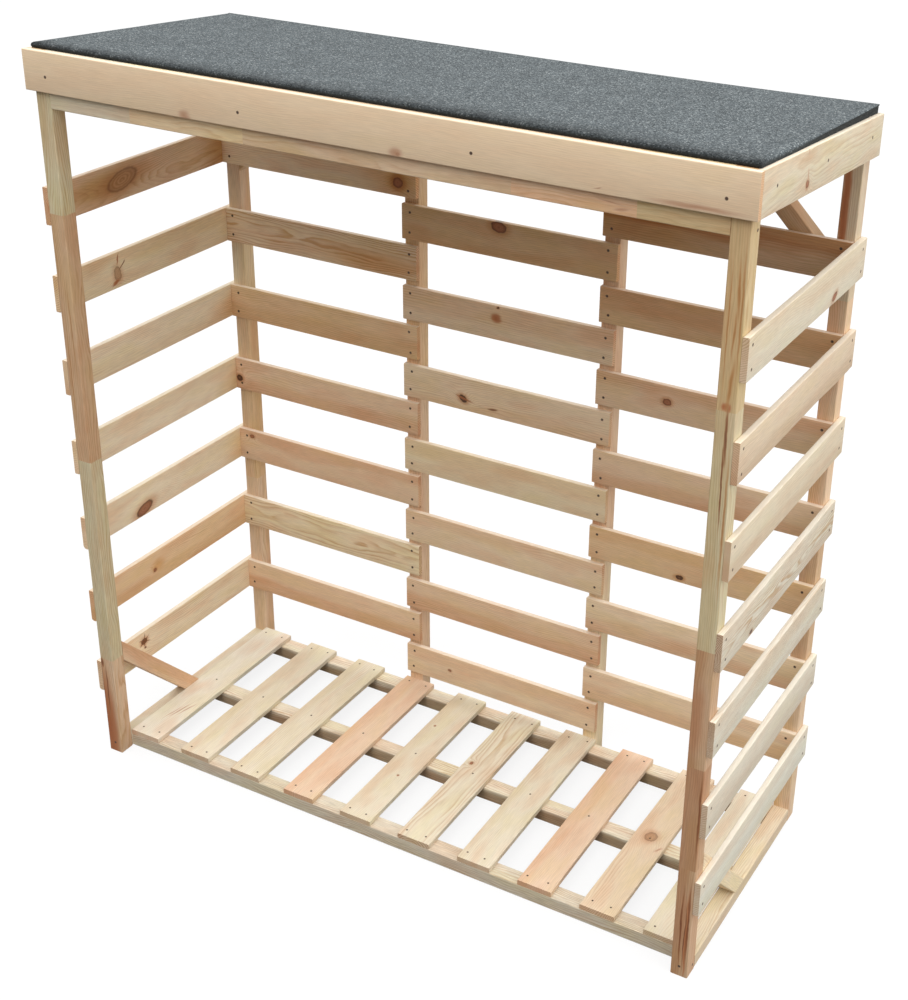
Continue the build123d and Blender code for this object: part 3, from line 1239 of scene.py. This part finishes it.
@dataclass
class Roof:
    """Deck board under one sheet of felt, turned down round its edges. Sizes are in millimetres."""

    edge: float = 10.6  # width of the rolled border
    rise: float = 10.45  # felt's top above the frame
    fall: float = field(default_factory=roof_fall)
    start: Vector = field(default_factory=lambda: Vector(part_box("front_post_left")[0]))
    crown: float = field(default_factory=lambda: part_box("front_post_left")[1].z)
    cell: float = 12.0
    sway: float = 0.3  # how far the sheet is from flat
    bulge: float = 2.0  # the bend stands out further at the front
    warp: float = 4.5  # the deck's back right corner curls up
    warp_from: tuple[float, float] = (150.0, -100.0)  # where that starts, right and back
    warp_over: tuple[float, float] = (500.0, 360.0)  # how far it takes to reach the full height
    lip_from: float = -120.0  # where the right end's standing lip starts
    lip_over: float = 200.0
    corner_steps: int = 6
    corner_reach: float = 1.35  # how far the bend reaches at a corner, which keeps the deck covered
    # The turned-down edge as steps out and down from the border: a soft bend, and a standing lip.
    soft: tuple[tuple[float, float], ...] = (
        (3.0, 0.1), (5.6, 0.5), (7.7, 1.3), (9.1, 2.6), (10.0, 4.4), (10.5, 6.6), (10.3, 10.4),
        (8.1, 10.5), (8.0, 5.0),
    )
    lipped: tuple[tuple[float, float], ...] = (
        (5.0, 0.05), (8.0, 0.15), (9.8, 0.4), (10.5, 1.2), (10.3, 2.3), (9.4, 3.0), (9.1, 10.4),
        (8.1, 10.5), (8.0, 5.0),
    )

    def curl(self, x: float, y: float) -> float:
        """How far the deck has lifted at a point of the plan."""
        steps = zip((x, y), self.warp_from, self.warp_over)
        right, back = (min(1.0, max(0.0, (at - start) / over)) for at, start, over in steps)
        return self.warp * right**2 * back**2

    def level(self, x: float, y: float) -> float:
        """Top of the sheet above a point of the plan."""
        plane = self.crown / MM + self.rise - self.fall * (y - self.start.y / MM)
        dip = self.sway * (0.5 + 0.5 * noise.noise(Vector((x / 140, y / 110, 3.0))))
        return plane - dip + self.curl(x, y)

    def fold(self, at: Vector, way: Vector) -> list[Vector]:
        """The turned-down edge below one point of the sheet's border.

        The back and the right end of the sheet stand a little over their turned-down part.

        Args:
            at: point of the border.
            way: direction out of the sheet.

        Returns:
            Points from the sheet to the underside.
        """
        corner = min(self.corner_reach, 1 / max(abs(way.x), abs(way.y)))
        right = (way.x > 0.5) * min(1.0, max(0.0, (at.y - self.lip_from) / self.lip_over))
        lip = max(right, float(way.y > 0.5))
        pull = 0.2 * (1 + noise.noise(Vector((at.x / 45, at.y / 45, 7.0))))
        points = []
        for (out, down), (lip_out, lip_down) in zip(self.soft, self.lipped):
            out += (lip_out - out) * lip
            down += (lip_down - down) * lip
            out += (self.bulge * max(0.0, -way.y) * (down < 9) - pull) * min(1.0, out / 8.0)
            down += self.curl(at.x, at.y) * min(1.0, max(0.0, (down - 3) / 6))
            out *= corner
            points.append(at + way * out - Z * (down + self.fall * way.y * out))
        return points

    def border(self, grid: list[list[bmesh.types.BMVert]]) -> list[tuple[bmesh.types.BMVert, Vector]]:
        """Walk round the sheet, with a fan of directions at each corner.

        Args:
            grid: rows of the sheet from front to back.

        Returns:
            Each point of the border with the direction out of the sheet.
        """
        sides = (
            (grid[0], -90.0),
            ([row[-1] for row in grid], 0.0),
            (grid[-1][::-1], 90.0),
            ([row[0] for row in grid[::-1]], 180.0),
        )
        walk = []
        for verts, heading in sides:
            turns = [(vert, heading) for vert in verts]
            for step in range(1, self.corner_steps):
                turns.append((verts[-1], heading + 90 * step / self.corner_steps))
            for vert, degrees in turns:
                angle = math.radians(degrees)
                walk.append((vert, Vector((math.cos(angle), math.sin(angle), 0))))
        return walk

    def build_felt(self) -> bpy.types.Object:
        """Build the felt as one sheet with a rolled border.

        Returns:
            The felt.
        """
        low, high = (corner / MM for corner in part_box("roof_felt"))
        x0, x1, y0, y1 = low.x + self.edge, high.x - self.edge, low.y + self.edge, high.y - self.edge
        columns, rows = round((x1 - x0) / self.cell), round((y1 - y0) / self.cell)
        shape = bmesh.new()
        grid = []
        for j in range(rows + 1):
            y = y0 + (y1 - y0) * j / rows
            xs = [x0 + (x1 - x0) * i / columns for i in range(columns + 1)]
            grid.append([shape.verts.new(Vector((x, y, self.level(x, y))) * MM) for x in xs])
        for near, far in zip(grid, grid[1:]):
            for i in range(columns):
                shape.faces.new((near[i], near[i + 1], far[i + 1], far[i]))
        edge = [
            (vert, [shape.verts.new(point * MM) for point in self.fold(vert.co / MM, way)])
            for vert, way in self.border(grid)
        ]
        for (vert, loop), (vert_after, loop_after) in zip(edge, edge[1:] + edge[:1]):
            shape.faces.new(dict.fromkeys((vert, loop[0], loop_after[0], vert_after)))
            for a, b, c, d in zip(loop, loop[1:], loop_after[1:], loop_after):
                shape.faces.new((a, b, c, d))
        shape.faces.new([loop[-1] for _, loop in edge])
        felt = MineralFelt(low.y * MM).material()
        return add_piece("felt_sheet", shape, [felt], "roof_felt", crease=60.0)

    def build(self) -> list[bpy.types.Object]:
        """Dress the deck and lay the felt.

        Returns:
            The deck and the felt.
        """
        wood = Pine(71, (Tone.STRAW,), cut=Cut.FLAT, width=520.0, ring_mm=5.0)
        lie = Lie.of_node("roof_board", "X", "Y")
        return [dress("roof_board", wood.material("deck_softwood_board", lie)), self.build_felt()]


# ------------------------------------------------------------------ studio
@dataclass(frozen=True)
class Lamp:
    """A square soft lamp."""

    name: str
    place: tuple[float, float, float]
    size: float
    watts: float


@dataclass
class Studio:
    """Pale floor, soft light from above and a little from the right, and the camera."""

    floor_half: float = 9.0
    floor_drop: float = 0.0004  # below the ground, so that feet and floor don't share a plane
    bounce: float = 0.13  # the floor's grey as the object sees it
    shade: float = 0.14  # its grey as the camera sees it, under its glow
    glow: float = 0.85
    dome: tuple[float, float] = (0.6, 2.3)  # sky light that grows with height, and with its cube
    aim: tuple[float, float, float] = (0.0, 0.0, 0.7)  # what the lamps face
    lamps: tuple[Lamp, ...] = (
        Lamp("lamp_right", (4.5, -0.6, 2.2), 3.6, 109.0),
        Lamp("lamp_front", (-0.1, -3.5, 4.2), 2.4, 61.0),
    )
    lens: float = 58.0675  # millimetres
    sensor: float = 36.0
    clip_end: float = 60.0
    shift: tuple[float, float] = (-0.0788, -0.0403)
    view_from: tuple[float, float, float] = (1.39233, -2.27151, 2.05684)
    view_turn: tuple[float, float, float] = (63.56, -1.341, 28.663)  # degrees

    def build_camera(self) -> bpy.types.Object:
        """Put the camera in front and to the right, looking down a little.

        Returns:
            The camera.
        """
        data = bpy.data.cameras.new("camera")
        data.lens, data.sensor_width, data.clip_end = self.lens, self.sensor, self.clip_end
        data.shift_x, data.shift_y = self.shift
        camera = bpy.data.objects.new("camera", data)
        camera.location = self.view_from
        camera.rotation_euler = Euler([math.radians(angle) for angle in self.view_turn])
        bpy.context.scene.collection.objects.link(camera)
        bpy.context.scene.camera = camera
        return camera

    def seen(self, add: Adder) -> bpy.types.Node:
        """Tell the rays that show the background: camera, glossy and transmission rays.

        Args:
            add: adds nodes to the material or world.

        Returns:
            A node that gives 1 for those rays.
        """
        path = add("LightPath")
        share = path.outputs["Is Camera Ray"]
        for name in ("Is Glossy Ray", "Is Transmission Ray"):
            share = add("Math", share, path.outputs[name], operation="MAXIMUM")
        return share

    def build_floor(self) -> bpy.types.Object:
        """Build a pale floor that keeps the object's shadow.

        Returns:
            The floor.
        """
        half = self.floor_half
        shape = bmesh.new()
        corners = ((-half, -half), (half, -half), (half, half), (-half, half))
        shape.faces.new([shape.verts.new((x, y, -self.floor_drop)) for x, y in corners])
        mesh = bpy.data.meshes.new("studio_floor")
        shape.to_mesh(mesh)
        shape.free()
        floor = bpy.data.objects.new("studio_floor", mesh)
        bpy.context.scene.collection.objects.link(floor)
        # Matt paper that lights the object softly from below, and looks near white itself.
        material, add = new_material("pale_studio_floor")
        plain, paper = add("BsdfDiffuse", grey(self.bounce)), add("BsdfDiffuse", grey(self.shade))
        glow = add("Emission", grey(1.0), self.glow)
        add("OutputMaterial", add("MixShader", self.seen(add), plain, add("AddShader", paper, glow)))
        mesh.materials.append(material)
        return floor

    def build_sky(self) -> None:
        """Soft light that is strongest overhead, as under a bright overcast sky."""
        world = bpy.data.worlds.new("studio_sky")
        bpy.context.scene.world = world
        world.use_nodes = True
        world.node_tree.nodes.clear()
        add = partial(add_node, world.node_tree)
        way = add("TexCoord")
        height = add("SeparateXYZ", way.outputs["Generated"]).outputs[2]
        above = add("Math", height, 0.0, operation="MAXIMUM")
        steep = add("Math", above, 3.0, operation="POWER")
        low = add("Math", above, self.dome[0], operation="MULTIPLY")
        level = add("Math", steep, self.dome[1], low, operation="MULTIPLY_ADD")
        dome = add("Background", grey(1.0), level)
        white = add("Background", grey(1.0), 1.0)
        add("OutputWorld", add("MixShader", self.seen(add), dome, white))

    def build_lamps(self) -> list[bpy.types.Object]:
        """Hang two large soft lamps, to the right and high in front.

        Returns:
            The lamps.
        """
        made = []
        for lamp in self.lamps:
            data = bpy.data.lights.new(lamp.name, "AREA")
            data.size, data.energy = lamp.size, lamp.watts
            light = bpy.data.objects.new(lamp.name, data)
            light.location = lamp.place
            way = Vector(self.aim) - Vector(lamp.place)
            light.rotation_euler = way.to_track_quat("-Z", "Y").to_euler()
            bpy.context.scene.collection.objects.link(light)
            made.append(light)
        return made

    def build(self) -> list[bpy.types.Object]:
        """Build the whole studio.

        Returns:
            The camera, the floor and the lamps.
        """
        bpy.context.scene.view_settings.view_transform = "Standard"
        camera, floor = self.build_camera(), self.build_floor()
        self.build_sky()
        return [camera, floor, *self.build_lamps()]


# ------------------------------------------------------------------ choice of wall slats


def ladders() -> list[SlatLadder]:
    """Choose the wood of every wall slat.

    Returns:
        The five ladders, each with its slats from the bottom up.
    """
    cream, pale, sand, rosy, frost = (
        (tone,) for tone in (Tone.CREAM, Tone.PALE, Tone.SAND, Tone.ROSY, Tone.FROST)
    )
    ivory, milk, straw, peach, gold = (
        (tone,) for tone in (Tone.IVORY, Tone.MILK, Tone.STRAW, Tone.PEACH, Tone.GOLD)
    )
    blush, pink, amber, tan, walnut = (
        (tone,) for tone in (Tone.BLUSH, Tone.PINK, Tone.AMBER, Tone.TAN, Tone.WALNUT)
    )
    quarter, rift, flat = Cut.QUARTER, Cut.RIFT, Cut.FLAT
    dead, large, rust, pith = Kind.DEAD, Kind.RING, Kind.RUST, Kind.PITH
    warm_shade, deep_shade = Kind.WARM_PAINTED_SHADE, Kind.DEEP_PAINTED_SHADE
    fine = partial(Pine, grain=0.35)  # faint late lines
    grey_side = partial(Pine, cloud=0.3)  # outer slats, cooler and more even: their cool tones paint in the cool light on the outer faces
    star = tuple(Mark(129, 47, 42, 4.4, pith, tilt) for tilt in (-20, 30, 85))
    # Painted shade at the back corner of the left side.
    back_corner_shade = Mark(520, 20, 220, 120, warm_shade)
    left = [
        Pine(100, ivory, cut=rift, marks=(Mark(129, 47, 18, 14, dead), *star, Mark(130, 31, 6, 4, dead))),
        Pine(101, gold, cut=rift, marks=(Mark(181, 29, 10, 8), Mark(191, 36, 60, 40, warm_shade))),
        Pine(102, milk, cut=quarter, grain=0.3, marks=(Mark(168, 15, 50, 24, tilt=16), back_corner_shade)),
        Pine(103, milk, cut=quarter, grain=0.3, marks=(back_corner_shade,)),
        Pine(104, ivory, cut=rift, grain=0.4, marks=(back_corner_shade,)),
        Pine(105, straw, cut=rift, grain=0.4, marks=(
            Mark(155, 28, 19, 30, large, 8), Mark(168, 42, 36, 2.6, pith, 38),
            Mark(158, 56, 5, 26, rust, -12), Mark(148, 12, 26, 10, rust, 20))),
        # The top left slat has deeper zones of painted shade at its front and its back.
        Pine(106, pink, cut=flat, grain=0.6, marks=(
            Mark(190, 37, 84, 36, large, 12), Mark(140, 35, 320, 80, deep_shade),
            Mark(505, 35, 230, 240, deep_shade))),
    ]
    right = [
        grey_side(110, frost, cut=quarter, grain=0.35, fibre=1.2),
        grey_side(111, pale, cut=rift, grain=0.35, fibre=1.2),
        grey_side(112, frost, cut=quarter, grain=1.0, fibre=1.4, ring_mm=1.9),
        grey_side(113, pale, cut=flat, grain=1.0, fibre=1.4, ring_mm=2.4, marks=(Mark(128, 7, 12, 8, dead),)),
        grey_side(114, sand, cut=quarter, grain=0.35),
        grey_side(115, rosy, cut=rift, grain=0.35),
        grey_side(116, cream, cut=rift, heart=0.5, grain=0.35, marks=(Mark(378, 12, 22, 12, tilt=20),)),
    ]
    back_left = [
        fine(120, pink, cut=quarter),
        Pine(121, straw, cut=flat, grain=0.8, ring_mm=4.0),
        fine(122, pink, cut=quarter, marks=(Mark(33, 57, 12, 9),)),
        Pine(123, pink, cut=rift, marks=(Mark(9, 25, 16, 14, dead),)),
        Pine(124, amber, cut=rift, heart=0.6),
        # The top two slats take warm tones and zones of painted shade, which stand in for the warm shade
        # under the roof.
        Pine(125, blush, cut=flat, grain=1.2, marks=(Mark(360, 22, 360, 70, warm_shade),)),
        Pine(126, peach, cut=rift, marks=(
            Mark(418, 26, 22, 20), Mark(430, 35, 240, 130, warm_shade), Mark(420, 30, 70, 60, deep_shade))),
    ]
    back_middle = [
        fine(130, blush, cut=quarter, marks=(Mark(108, 35, 8, 6),)),
        Pine(131, pink, cut=rift, heart=0.5),
        fine(132, blush, cut=rift),
        fine(133, straw, cut=quarter),
        Pine(134, blush, cut=rift, marks=(
            Mark(138, 25, 19, 14, dead, -30), Mark(141, 26, 56, 5, rust, -14),
            Mark(206, 17, 28, 6, pith, 6))),
        Pine(135, blush, cut=rift, heart=0.6, marks=(Mark(210, 44, 30, 24, rust), Mark(214, 66, 5, 4, dead))),
        # The top slat's warm amber tone stands in for the warm shade under the roof.
        Pine(136, amber, cut=quarter, marks=(Mark(213, 60, 33, 21, tilt=-8),)),
    ]
    back_right = [
        fine(140, blush, cut=quarter),
        fine(141, blush, cut=rift),
        fine(142, amber, cut=quarter, marks=(Mark(195, 11, 16, 10, dead),)),
        fine(143, pink, cut=quarter),
        Pine(144, pink, cut=rift, marks=(Mark(146, 38, 17, 13),)),
        # The top two slats take darker, warmer tones and a zone of painted shade, which stand in for the warm
        # shade under the roof.
        Pine(145, tan, cut=quarter, heart=0.6),
        Pine(146, walnut, cut=rift, heart=0.55, marks=(Mark(60, 35, 440, 140, warm_shade),)),
    ]
    return [
        SlatLadder("side_slats_left", "Y", -1, left, {0: 3.0, 1: 5.0, 2: 6.0, 4: 6.0}),
        SlatLadder("side_slats_right", "Y", 1, right, {1: 3.0, 5: 4.0}),
        SlatLadder("back_slats_left", "X", 1, back_left),
        SlatLadder("back_slats_middle", "X", 1, back_middle),
        SlatLadder("back_slats_right", "X", 1, back_right),
    ]


def main() -> None:
    """Build the sub-assemblies in order and report each piece."""
    logging.basicConfig(level=logging.INFO, format="%(message)s")
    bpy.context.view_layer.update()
    finish = NailFinish().materials()
    nails, small_nails = Nails(finish), Nails(finish, head_mm=2.4)
    pieces = TimberFrame().build(nails)
    for ladder in ladders():
        pieces += ladder.build(nails)
    pieces += Floor().build(small_nails)
    pieces += Fascia().build(nails)
    pieces += Roof().build()
    pieces += Studio().build()
    for piece in pieces:
        log.info("built %s", piece.name)


if __name__ == "__main__":
    main()
